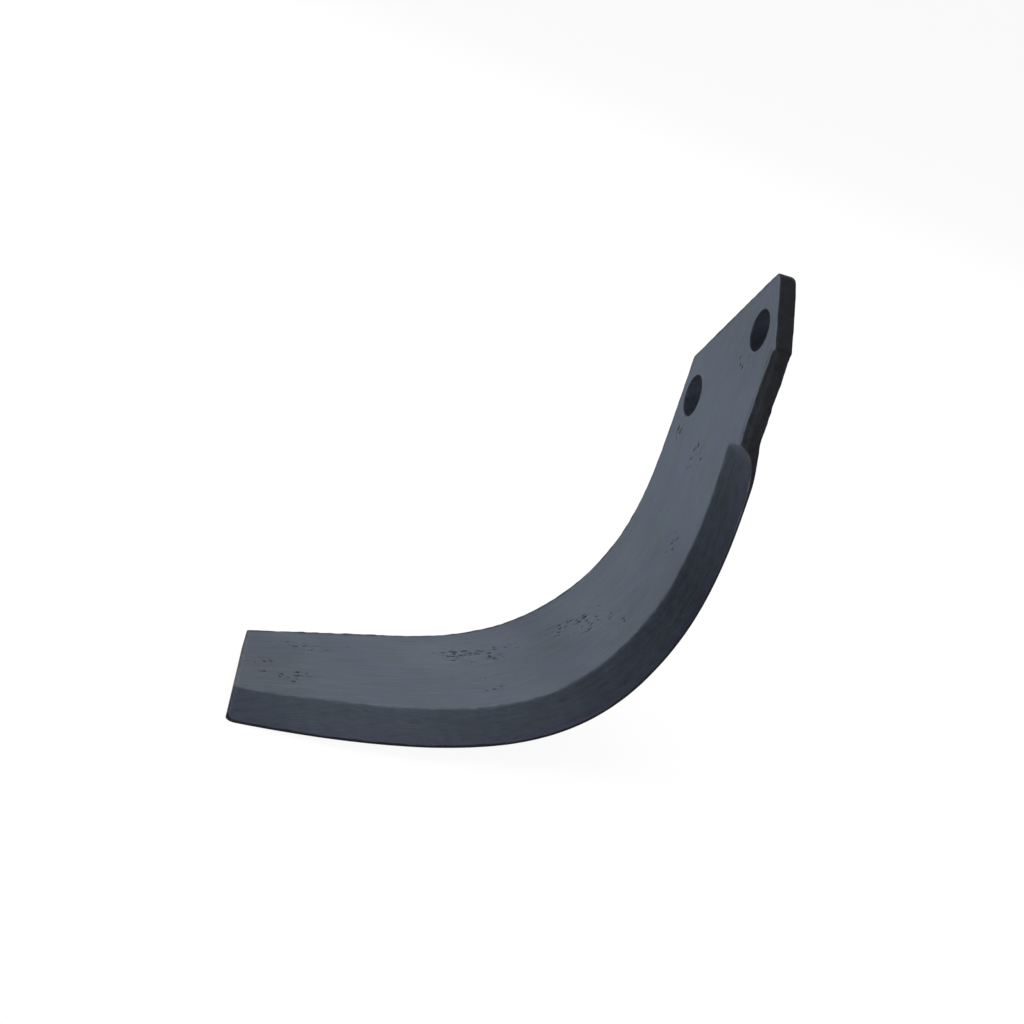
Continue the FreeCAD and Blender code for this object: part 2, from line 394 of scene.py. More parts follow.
@dataclass(frozen=True)
class Bevel:
    """The forged bevel of the cutting edge, in mm. A grind wave is a length per radian, a share and a phase."""

    blank: Blank
    edge_land: float = 0.8
    width: float = 18.5
    start: float = 17.3
    wall: float = 3.0
    wall_length: float = 5.5
    fade: float = 9.5
    start_slope: float = 0.238
    run_out: float = 27.0
    crease: float = 0.16
    crease_reach: float = 6.0
    crease_rest: float = 0.006
    wander: float = 0.055
    tip_start: float = 272.0
    tip_length: float = 28.0
    tip_steeper: float = 0.15

    GRIND_WAVES: ClassVar[tuple[tuple[float, float, float], ...]] = (
        (3.1, 1.0, 0.0),
        (1.37, 0.8, 1.0),
        (6.3, 0.7, 2.0),
    )

    def depth(self, station: np.ndarray) -> np.ndarray:
        """Depth at the edge: a steep start, then thinning to the cutting edge."""
        full = self.blank.plate - self.edge_land
        past = np.asarray(station, float) - self.start
        wall = self.wall * (1.0 - np.clip(1.0 - past / self.wall_length, 0.0, 1.0) ** 2)
        thinning = (full - self.wall) * (1.0 - np.exp(-np.maximum(past, 0.0) / self.fade))
        return np.where(past < 0, past, wall + thinning)

    def slope(self, station: np.ndarray) -> np.ndarray:
        """Depth for each mm of width, measured along a bend line."""
        full = (self.blank.plate - self.edge_land) / self.width
        share = np.clip((np.asarray(station, float) - self.start) / self.run_out, 0.0, 1.0)
        steeper = 1.0 + self.tip_steeper * smooth((station - self.tip_start) / self.tip_length)
        slope = self.start_slope + (full - self.start_slope) * share
        return slope * steeper * np.cos(self.blank.lean(station))

    def edge_table(self) -> tuple[np.ndarray, np.ndarray, np.ndarray]:
        """Stations of the outer edge with their w and u, for looking up by bend line."""
        stations = np.linspace(self.blank.neck_corner_station(), 400.0, 1600)
        uw = self.blank.point(stations, self.blank.width(stations))
        return stations, uw[:, 1], uw[:, 0]

    def signed(self, uw: np.ndarray) -> np.ndarray:
        """Height of the bevel plane under the concave face, negative where it passes over it."""
        stations, w, u = self.edge_table()
        at = np.interp(uw[:, 1], w, stations)
        edge = np.interp(uw[:, 1], w, u)
        return self.depth(at) + (uw[:, 0] - edge) * self.slope(at) + self.uneven_grind(at)

    def uneven_grind(self, station: np.ndarray) -> np.ndarray:
        """Small change of depth along the blade, which lets the crease wander."""
        away = smooth((station - self.start - self.run_out) / self.run_out)
        waves = sum(share * np.sin(station / length + phase) for length, share, phase in self.GRIND_WAVES)
        return self.wander * away * waves

    def cut(self, uw: np.ndarray) -> np.ndarray:
        """Depth of the concave face at points of the blank, with a softened crease."""
        height = self.signed(uw)
        soft = (height + np.sqrt(height**2 + self.crease**2)) / 2
        above = height < -self.crease_reach * self.crease
        return np.where(above, 0.0, np.maximum(soft - self.crease_rest, 0.0))

    def crease_line(self, step: float) -> np.ndarray:
        """Points of the line where the bevel meets the concave face."""
        stations, w, u = self.edge_table()
        levels = np.arange(float(np.interp(self.start + 1.0, stations, w)), w[-1], step)
        at = np.interp(levels, w, stations)
        edge = np.interp(levels, w, u)
        return np.stack([edge - (self.depth(at) + self.uneven_grind(at)) / self.slope(at), levels], -1)


def resample(line: np.ndarray, step: float) -> np.ndarray:
    """Space the points of an open line evenly.

    Args:
        line: rows of (u, w).
        step: wanted spacing.

    Returns:
        Rows of (u, w), ends kept.
    """
    run = np.r_[0.0, np.cumsum(np.hypot(*np.diff(line, axis=0).T))]
    count = max(2, int(round(run[-1] / step)) + 1)
    marks = np.linspace(0.0, run[-1], count)
    return np.stack([np.interp(marks, run, line[:, 0]), np.interp(marks, run, line[:, 1])], -1)


def trimmed(line: np.ndarray, cut: float) -> np.ndarray:
    """Take a length off the start of an open line."""
    run = np.r_[0.0, np.cumsum(np.hypot(*np.diff(line, axis=0).T))]
    first = np.array([[np.interp(cut, run, line[:, 0]), np.interp(cut, run, line[:, 1])]])
    return np.vstack([first, line[run > cut + 1e-6]])


def rounded_loop(
    sides: Sequence[np.ndarray], radii: Sequence[float], step: float
) -> tuple[np.ndarray, np.ndarray]:
    """Join open sides into one closed loop with rounded corners.

    Args:
        sides: lines that follow each other, each ending where the next starts.
        radii: radius of the corner at the end of each side.
        step: spacing of the points.

    Returns:
        Rows of (u, w) of the closed loop, first point not repeated, and the number of each point's side.
    """
    sides = [side.copy() for side in sides]
    arcs = []
    for k, radius in enumerate(radii):
        here, after = sides[k], sides[(k + 1) % len(sides)]
        corner = here[-1]
        back = here[-4] - corner if len(here) > 4 else here[0] - corner
        ahead = after[3] - corner if len(after) > 4 else after[-1] - corner
        back, ahead = back / np.hypot(*back), ahead / np.hypot(*ahead)
        half = math.acos(float(np.clip(back @ ahead, -1.0, 1.0))) / 2
        reach = radius / math.tan(half)
        centre = corner + (back + ahead) / np.hypot(*(back + ahead)) * radius / math.sin(half)
        sides[k] = trimmed(here[::-1], reach)[::-1]
        sides[(k + 1) % len(sides)] = trimmed(after, reach)
        sweep = math.pi - 2 * half
        count = max(4, int(math.ceil(radius * sweep / (0.6 * step))))
        first = corner + back * reach - centre
        turn = 1.0 if first[1] * back[0] - first[0] * back[1] > 0 else -1.0
        arc = []
        for i in range(1, count):
            a = turn * sweep * i / count
            x = first[0] * math.cos(a) - first[1] * math.sin(a)
            y = first[0] * math.sin(a) + first[1] * math.cos(a)
            arc.append(centre + np.array((x, y)))
        arcs.append(np.array(arc))
    loop = []
    owner = []
    for k, (side, arc) in enumerate(zip(sides, arcs)):
        loop += [resample(side, step), arc]
        owner += [k] * (len(loop[-2]) + len(arc))
    return np.vstack(loop), np.array(owner)


def uneven(count: int, spacing: int, seed: int) -> np.ndarray:
    """Random values from 0 to 1 that change smoothly round a closed loop.

    Args:
        count: number of points of the loop.
        spacing: points between one random value and the next.
        seed: seed of the random values.

    Returns:
        One value for each point.
    """
    knots = np.random.default_rng(seed).random(max(3, count // spacing))
    place = np.arange(count) * len(knots) / count
    share = smooth(place - np.floor(place))
    first = np.floor(place).astype(int)
    return knots[first] * (1 - share) + knots[(first + 1) % len(knots)] * share


@dataclass(frozen=True)
class Patch:
    """One cluster of scale pits, in mm along and across the strip."""

    station: float
    offset: float
    length: float
    width: float
    strength: float = 1.0

    CORE: ClassVar[float] = 0.45
    FADE: ClassVar[float] = 0.85

    def cover(self, strip: np.ndarray) -> np.ndarray:
        """Share of the patch's strength at rows of (station, offset)."""
        away = np.hypot((strip[:, 0] - self.station) / self.length, (strip[:, 1] - self.offset) / self.width)
        return self.strength * (1.0 - smooth((away - self.CORE) / self.FADE))


@dataclass
class Edge:
    """Shape and finish of the edges along a loop, with one value for each point.

    The radii and the burr are in mm. The rest are shares from 0 to 1: dark scale on the front and back edge,
    the rough forged band, the light crest beside a burr, the dark line of the cutting edge, and the scale
    of the wall between the faces.
    """

    front_r: np.ndarray
    back_r: np.ndarray
    burr: np.ndarray
    scale: np.ndarray
    back_scale: np.ndarray
    band: np.ndarray
    crest: np.ndarray
    lip: np.ndarray
    wall: float = 1.0


def ring_area(loop: np.ndarray) -> float:
    """Twice the signed area of a closed loop."""
    ahead = np.roll(loop, -1, axis=0)
    return float(np.sum(loop[:, 0] * ahead[:, 1] - ahead[:, 0] * loop[:, 1]))


def inward(loop: np.ndarray, around_material: bool) -> np.ndarray:
    """Unit directions from each point of a loop into the material.

    Args:
        loop: closed loop of points.
        around_material: True for the outline, False for a hole.

    Returns:
        Rows of unit vectors.
    """
    ahead = np.roll(loop, -1, axis=0) - loop
    behind = loop - np.roll(loop, 1, axis=0)
    ahead = ahead / np.hypot(*ahead.T)[:, None]
    behind = behind / np.hypot(*behind.T)[:, None]
    along = ahead + behind
    along = along / np.hypot(*along.T)[:, None]
    left = np.stack([-along[:, 1], along[:, 0]], -1) * math.copysign(1.0, ring_area(loop))
    return left if around_material else -left


def inside(loop: np.ndarray, points: np.ndarray) -> np.ndarray:
    """Tell which points lie inside a closed loop."""
    x, y = points[:, 0], points[:, 1]
    result = np.zeros(len(points), bool)
    for a, b in zip(loop, np.roll(loop, -1, axis=0)):
        crosses = (a[1] > y) != (b[1] > y)
        if crosses.any():
            at = (b[0] - a[0]) * (y[crosses] - a[1]) / (b[1] - a[1]) + a[0]
            result[crosses] ^= x[crosses] < at
    return result


def clearance(points: np.ndarray, others: np.ndarray) -> np.ndarray:
    """Distance from each point to the nearest of the others."""
    best = np.empty(len(points))
    for k in range(0, len(points), 2000):
        gap = points[k : k + 2000, None, :] - others[None]
        best[k : k + 2000] = np.sqrt((gap**2).sum(2).min(1))
    return best


@dataclass
class BlankMesh:
    """Meshes the flat blank with its bevel, rounded edges and holes.

    Sizes are in mm. The grids are the spacing of the points inside the faces. The band is the rough scale of
    the forged neck edge, and the dark ground line grows along the cutting edge. The inner burr is quieter up
    to quiet_end, the end corner's back edge is rolled over, and the mouth is the finely meshed box where the
    bevel starts.
    """

    blank: Blank
    bevel: Bevel
    step: float = 1.1
    front_grid: float = 0.9
    seat_grid: float = 1.6
    fine_grid: float = 0.55
    stock_r: float = 0.5
    forged_r: float = 2.8
    hole_r: float = 0.35
    hold: float = 0.4
    edge_share: float = 0.33
    burr_passes: int = 4
    inset: float = 0.02
    burrs: dict[Side, float] = field(
        default_factory=lambda: {Side.END: 0.22, Side.INNER: 0.42, Side.TIP: 0.45}
    )
    patches: tuple[Patch, ...] = (
        Patch(168.0, 21.0, 20.0, 9.0),
        Patch(122.0, 29.0, 14.0, 12.0, 0.9),
        Patch(110.0, 46.0, 8.0, 8.0, 0.8),
        Patch(184.0, 47.0, 10.0, 8.0, 0.6),
        Patch(238.0, 12.0, 20.0, 6.0, 0.7),
        Patch(268.0, 36.0, 12.0, 12.0, 0.9),
        Patch(266.0, 5.0, 9.0, 6.0, 0.8),
        Patch(33.0, 38.0, 9.0, 7.0, 0.9),
        Patch(27.0, 12.0, 6.0, 5.0, 0.8),
        Patch(-12.0, 52.0, 7.0, 7.0, 0.7),
        Patch(62.0, 49.0, 12.0, 5.0, 0.7),
    )
    lip: float = 6.0
    band_rise: float = 2.5
    band_lead: float = 1.5
    band_fall: float = 3.5
    band_fade: float = 2.2
    ground_start: float = 20.0
    ground_rise: float = 30.0
    quiet_share: float = 0.45
    quiet_end: float = 110.0
    quiet_fade: float = 30.0
    black_reach: float = 10.0
    roll_r: float = 2.0
    roll_reach: float = 8.0
    hole_points: int = 64
    hole_scale: float = 0.66
    crease_gap: float = 0.62
    ring_gap: float = 0.5
    crease_rows: tuple[float, float] = (0.75, 0.5)
    mouth_low: tuple[float, float] = (-20.0, -6.0)
    mouth_high: tuple[float, float] = (8.0, 9.0)
    arc_steps: int = 4
    rim_rows: int = 7
    end_corner_r: float = 3.5
    side_corner_r: float = 2.2
    tip_corner_r: float = 3.0
    small_corner_r: float = 1.2
    _points: list[np.ndarray] = field(default_factory=list)
    _faces: list[tuple[int, ...]] = field(default_factory=list)
    _masks: dict[Mask, list[np.ndarray]] = field(default_factory=lambda: {m: [] for m in Mask})
    _flat: list[np.ndarray] = field(default_factory=list)

    def outline(self) -> tuple[np.ndarray, np.ndarray]:
        """Closed outline of the blank, starting at the inner end corner, with each point's side."""
        b = self.blank
        start = b.point(0.0, 0.0)
        neck = np.linspace(b.neck_corner_station(), b.tip_outer_station(), 900)
        outer = b.point(neck, b.width(neck))
        tip = np.linspace(outer[-1], b.point(b.tip_station, 0.0), 60)
        inner = b.point(np.linspace(b.tip_station, 0.0, 600), np.zeros(600))
        sides = [
            np.linspace(start, b.end_corner(), 50),
            np.linspace(b.end_corner(), outer[0], 30),
            outer,
            tip,
            inner,
        ]
        radii = (
            self.end_corner_r,
            self.side_corner_r,
            self.tip_corner_r,
            self.small_corner_r,
            self.small_corner_r,
        )
        loop, owner = rounded_loop(sides, radii, self.step)
        return loop + inward(loop, True) * self.inset, owner

    def hole(self, side: int) -> np.ndarray:
        """Closed loop of one bolt hole."""
        angles = np.linspace(0.0, 2 * math.pi, self.hole_points, endpoint=False)
        ring = np.stack([np.cos(angles), np.sin(angles)], -1) * self.blank.hole_r
        return self.blank.bolt_centre(side) + ring

    def forged_share(self, station: np.ndarray) -> np.ndarray:
        """How far the outer neck edge is forged round: fully from its corner to the bevel."""
        rise = smooth((station - self.blank.neck_corner_station()) / self.band_rise)
        return rise * (1.0 - smooth((station - self.bevel.start + self.band_lead) / self.band_fall))

    def outline_edge(self, loop: np.ndarray, owner: np.ndarray) -> Edge:
        """Shape the edges of the outline: rounder on the forged neck, with burrs where it was sheared."""
        station = self.blank.station_of(loop)[:, 0]
        outer = owner == Side.OUTER.value
        forged = np.where(outer, self.forged_share(station), 0.0)
        along = smooth((station - self.bevel.start - self.ground_start) / self.ground_rise)
        ground = np.where(outer, along, 0.0)
        ragged = 0.5 * uneven(len(loop), spacing=3, seed=11) + 0.5 * uneven(len(loop), spacing=2, seed=12)
        burr = np.zeros(len(loop))
        for side, height in self.burrs.items():
            burr = np.where(owner == side.value, height, burr)
        quiet = self.quiet_share
        loud = quiet + (1.0 - quiet) * smooth((station - self.quiet_end) / self.quiet_fade)
        burr = np.where(owner == Side.INNER.value, burr * loud, burr)
        for _ in range(self.burr_passes):
            burr = (np.roll(burr, 1) + 2 * burr + np.roll(burr, -1)) / 4
        broken = 0.15 + 0.5 * uneven(len(loop), spacing=7, seed=3)
        burr = burr * (broken + 0.6 * uneven(len(loop), spacing=2, seed=5))
        rolled = np.exp(-((np.hypot(*(loop - self.blank.end_corner()).T) / self.roll_reach) ** 2))
        black = (owner == Side.SHORT.value) | (outer & (station < self.bevel.start + self.black_reach))
        burr_scale = burr / np.where(owner == Side.TIP.value, 0.8, 0.2)
        return Edge(
            front_r=self.stock_r + (self.forged_r - self.stock_r) * forged,
            back_r=self.stock_r + (self.roll_r - self.stock_r) * rolled,
            burr=burr,
            scale=np.clip(forged + burr_scale + ground * (0.6 + 0.6 * ragged), 0.0, 1.0),
            back_scale=np.where(black, 0.6 + 0.4 * ragged, 0.3 * ragged),
            band=np.where(owner == Side.SHORT.value, 0.35, 0.0),
            lip=ground * ragged,
            crest=np.where(outer, 0.0, 0.35 + 0.5 * ragged),
        )

    def hole_edge(self, loop: np.ndarray) -> Edge:
        """Shape the edges of a hole: a small even rounding."""
        none = np.zeros(len(loop))
        radius, scale = none + self.hole_r, none + 0.5
        return Edge(radius, radius, none, scale, scale, none, none, none, wall=self.hole_scale)

    def add(self, uw: np.ndarray, depth: np.ndarray, masks: dict[Mask, np.ndarray | float]) -> np.ndarray:
        """Add points.

        Args:
            uw: rows of (u, w).
            depth: depth of each point below the concave face.
            masks: value of each mask at the points, 0 where left out.

        Returns:
            Numbers of the new points.
        """
        first = sum(len(p) for p in self._points)
        self._points.append(np.column_stack([uw[:, 0], depth - self.blank.plate, -uw[:, 1]]))
        self._flat.append(uw)
        for mask in Mask:
            value = np.broadcast_to(np.asarray(masks.get(mask, 0.0), float), (len(uw),))
            self._masks[mask].append(value.copy())
        return np.arange(first, first + len(uw))

    def thickness_share(self, cut: np.ndarray) -> np.ndarray:
        """How much of the forged unevenness the plate can take under a cut: none at 1 mm, all from 4 mm."""
        return np.clip((self.blank.plate - cut - 1.0) / 3.0, 0.0, 1.0)

    def rim(self, loop: np.ndarray, around: bool, edge: Edge) -> dict[Face, tuple[np.ndarray, np.ndarray]]:
        """Build the rounded edges and the rim of one loop.

        Args:
            loop: closed loop of (u, w).
            around: True for the outline, False for a hole.
            edge: shape of its edges.

        Returns:
            For each broad face, the numbers and places of the ring that its sheet joins.
        """
        into = inward(loop, around)
        cut = self.bevel.cut(loop) if around else np.zeros(len(loop))
        thick = self.blank.plate - cut
        front_r = np.minimum(edge.front_r, self.edge_share * thick)
        back_r = np.minimum(edge.back_r, self.edge_share * thick)
        columns: list[np.ndarray] = []
        rings: dict[Face, tuple[np.ndarray, np.ndarray]] = {}
        thin = self.thickness_share(cut)
        bevelled = np.clip(cut / 1.5, 0.0, 1.0)

        def place(
            ring: np.ndarray, depth: np.ndarray, wear_and_highlight: np.ndarray | float, rim: np.ndarray | float
        ) -> np.ndarray:
            """Add one ring with its masks."""
            masks = {
                Mask.WEAR: wear_and_highlight,
                Mask.RIM: np.minimum(rim, edge.wall),
                Mask.FORGE: thin * (1.0 - 0.6 * np.asarray(rim)),
                Mask.BEVEL: bevelled * (1.0 - np.asarray(rim)),
                Mask.BAND: edge.band * np.asarray(rim),
            }
            return self.add(ring, depth, masks)

        def corner(reach: np.ndarray, a: float) -> tuple[np.ndarray, np.ndarray]:
            """Ring at an angle round an edge, and how far it lies below the face."""
            return loop + into * (reach * (1.0 - math.sin(a)))[:, None], reach * (1.0 - math.cos(a))

        hold = loop + into * (front_r + self.hold)[:, None]
        face_cut = self.bevel.cut(hold) if around else np.zeros(len(loop))
        # Lighter share round the front edges and beside the burrs: partly abrasion, partly painted highlight.
        rubbed_and_highlit = 1.0 - 0.9 * edge.scale
        columns.append(place(hold, face_cut, np.maximum(0.12 * rubbed_and_highlit, edge.crest), 0.55 * edge.lip))
        rings[Face.CONCAVE] = (columns[0], hold)
        for i in range(self.arc_steps + 1):
            a = math.pi / 2 * i / self.arc_steps
            ring, drop = corner(front_r, a)
            base = self.bevel.cut(ring) if around else np.zeros(len(loop))
            lift = edge.burr * (0.75 + 0.25 * math.sin(2 * a)) * math.cos(a)
            rim = np.clip(a / (math.pi / 2) + 0.8 * edge.scale, 0.0, 1.0)
            columns.append(place(ring, base + drop - lift, (math.sin(2 * a) * 0.7 + 0.3) * rubbed_and_highlit, rim))
        top = cut + front_r
        low = self.blank.plate - back_r
        for i in range(1, self.rim_rows):
            columns.append(place(loop, top + (low - top) * i / self.rim_rows, 0.0, 1.0))
        for i in range(self.arc_steps + 1):
            a = math.pi / 2 * (1.0 - i / self.arc_steps)
            ring, drop = corner(back_r, a)
            rim = np.clip(a / (math.pi / 2) + edge.back_scale, 0.0, 1.0)
            # Lighter share round the back edges: partly abrasion, partly painted highlight.
            worn_and_highlit = (math.sin(2 * a) * 0.7 + 0.3) * (1.0 - 0.9 * edge.back_scale)
            columns.append(place(ring, self.blank.plate - drop, worn_and_highlit, rim))
        hold = loop + into * (back_r + self.hold)[:, None]
        columns.append(place(hold, np.full(len(loop), self.blank.plate), 0.12, 0.0))
        rings[Face.SEAT] = (columns[-1], hold)
        for upper, lower in zip(columns, columns[1:]):
            for i in range(len(loop)):
                j = (i + 1) % len(loop)
                self._faces.append((upper[i], upper[j], lower[j], lower[i]))
        return rings

    def fill_points(self, face: Face, loops: Sequence[np.ndarray]) -> np.ndarray:
        """Scatter the inner points of a broad face.

        Args:
            face: which broad face.
            loops: outline ring first, then the rings of the holes.

        Returns:
            Rows of (u, w).
        """
        low, high = loops[0].min(0), loops[0].max(0)

        def lattice(step: float, lo: np.ndarray, hi: np.ndarray) -> np.ndarray:
            """Points of a triangular lattice in a box."""
            out = []
            for k, w in enumerate(np.arange(lo[1], hi[1], step * math.sqrt(0.75))):
                row = np.arange(lo[0] + (k % 2) * step / 2, hi[0], step)
                out.append(np.column_stack([row, np.full(len(row), w)]))
            return np.vstack(out)

        rings = np.vstack(loops)
        points = lattice(self.front_grid if face is Face.CONCAVE else self.seat_grid, low, high)
        if face is Face.CONCAVE:
            creases = self.bevel.crease_line(1.0)
            out, down = self.crease_rows
            rows = np.vstack([creases, creases + [out, down], creases - [out, -down]])
            mouth = self.blank.point(self.bevel.start, self.blank.shank_width)
            box = mouth + np.array(self.mouth_low), mouth + np.array(self.mouth_high)
            fine = lattice(self.fine_grid, *box)
            outside_box = ((points < box[0]) | (points > box[1])).any(1)
            points = points[outside_box]
            rows = rows[rows[:, 1] > box[1][1]]
            points = np.vstack([points[clearance(points, rows) > self.crease_gap], rows, fine])
        keep = inside(loops[0], points) & (clearance(points, rings) > self.ring_gap)
        for ring in loops[1:]:
            keep &= ~inside(ring, points)
        return points[keep]

    def sheet(self, face: Face, rings: Sequence[tuple[np.ndarray, np.ndarray]]) -> None:
        """Triangulate a broad face between its rings."""
        loops = [ring[1] for ring in rings]
        numbers = np.concatenate([ring[0] for ring in rings])
        extra = self.fill_points(face, loops)
        depth = self.bevel.cut(extra) if face is Face.CONCAVE else np.full(len(extra), self.blank.plate)
        height = self.bevel.signed(extra)
        masks: dict[Mask, np.ndarray | float] = {Mask.FORGE: self.thickness_share(self.bevel.cut(extra))}
        if face is Face.CONCAVE:
            masks[Mask.BEVEL] = np.clip(height / 0.3 + 0.5, 0.0, 1.0)
            # Light line along the crease: partly abrasion, partly painted highlight.
            masks[Mask.WEAR] = 0.5 * np.exp(-((height / 0.22) ** 2))
        numbers = np.concatenate([numbers, self.add(extra, depth, masks)])
        flat = np.vstack(loops + [extra]).astype(np.float32).astype(float)
        edges = []
        owner = np.full(len(flat), -1)
        first = 0
        for k, loop in enumerate(loops):
            edges += [(first + i, first + (i + 1) % len(loop)) for i in range(len(loop))]
            owner[first : first + len(loop)] = k
            first += len(loop)
        result = geometry.delaunay_2d_cdt([Vector(p) for p in flat], edges, [], 0, 1e-6)
        given = np.array([origin[0] for origin in result[3]])
        corners = np.sort(given[np.array(result[2])], axis=1)
        a, b, c = (flat[corners[:, k]] for k in range(3))
        turn = (b[:, 0] - a[:, 0]) * (c[:, 1] - a[:, 1]) - (b[:, 1] - a[:, 1]) * (c[:, 0] - a[:, 0])
        around = np.sign(ring_area(loops[0]))
        own = owner[corners]
        same = (own[:, 0] == own[:, 1]) & (own[:, 1] == own[:, 2])
        drop = same & ((own[:, 0] > 0) | ((own[:, 0] == 0) & (turn * around <= 0)))
        self._faces += [tuple(int(i) for i in row) for row in numbers[corners[~drop]]]

    def build(self) -> bpy.types.Object:
        """Make the flat blank as an object.

        Returns:
            The object, in metres, flat in the plane of the shank.
        """
        outline, owner = self.outline()
        loops = [(outline, True, self.outline_edge(outline, owner))]
        for side in (-1, 1):
            hole = self.hole(side)
            loops.append((hole, False, self.hole_edge(hole)))
        joined = [self.rim(*loop) for loop in loops]
        for face in Face:
            self.sheet(face, [rings[face] for rings in joined])
        points = np.vstack(self._points)
        flat = np.vstack(self._flat)
        mesh = bpy.data.meshes.new("blank")
        mesh.from_pydata((points * MM).tolist(), [], [tuple(int(i) for i in f) for f in self._faces])
        mesh.update()
        for mask in Mask:
            layer = mesh.attributes.new(mask.value, "FLOAT", "POINT")
            layer.data.foreach_set("value", np.concatenate(self._masks[mask]).astype(np.float32))
        strip = self.blank.station_of(flat)
        front = np.clip(1.0 - np.abs(points[:, 1] + self.blank.plate), 0.0, 1.0)
        reach = np.maximum(self.blank.width(strip[:, 0]) - strip[:, 1], 0.0)
        near = self.forged_share(strip[:, 0]) * (1.0 - smooth((reach - self.forged_r) / self.band_fade))
        fields = {
            Mask.PITTED: front * np.max([patch.cover(strip) for patch in self.patches], axis=0),
            Mask.LIP: np.exp(-reach / self.lip),
            Mask.BAND: np.maximum(near, np.concatenate(self._masks[Mask.BAND])),
        }
        for mask, value in fields.items():
            mesh.attributes[mask.value].data.foreach_set("value", value.astype(np.float32))
        uv = mesh.uv_layers.new(name="strip")
        loop_points = np.empty(len(mesh.loops), dtype=np.int32)
        mesh.loops.foreach_get("vertex_index", loop_points)
        uv.data.foreach_set("uv", (strip[loop_points] * UV_PER_MM).astype(np.float32).ravel())
        self._turn_outwards(mesh)
        blank = bpy.data.objects.new("blank", mesh)
        bpy.context.scene.collection.objects.link(blank)
        log.info("blank: %d points, %d faces", len(points), len(self._faces))
        return blank

    @staticmethod
    def _turn_outwards(mesh: bpy.types.Mesh) -> None:
        """Make every face of the closed blank point outwards."""
        work = bmesh.new()
        work.from_mesh(mesh)
        bmesh.ops.recalc_face_normals(work, faces=work.faces)
        volume = work.calc_volume(signed=True)
        if volume < 0:
            bmesh.ops.reverse_faces(work, faces=work.faces)
        open_edges = sum(not edge.is_manifold for edge in work.edges)
        log.info("open edges: %d, volume %.2f cm3", open_edges, abs(volume) * 1e6)
        for part in work.faces:
            part.smooth = True
        work.to_mesh(mesh)
        work.free()


# ------------------------------------------------------------------------------------------
# Bending and forging
# ------------------------------------------------------------------------------------------


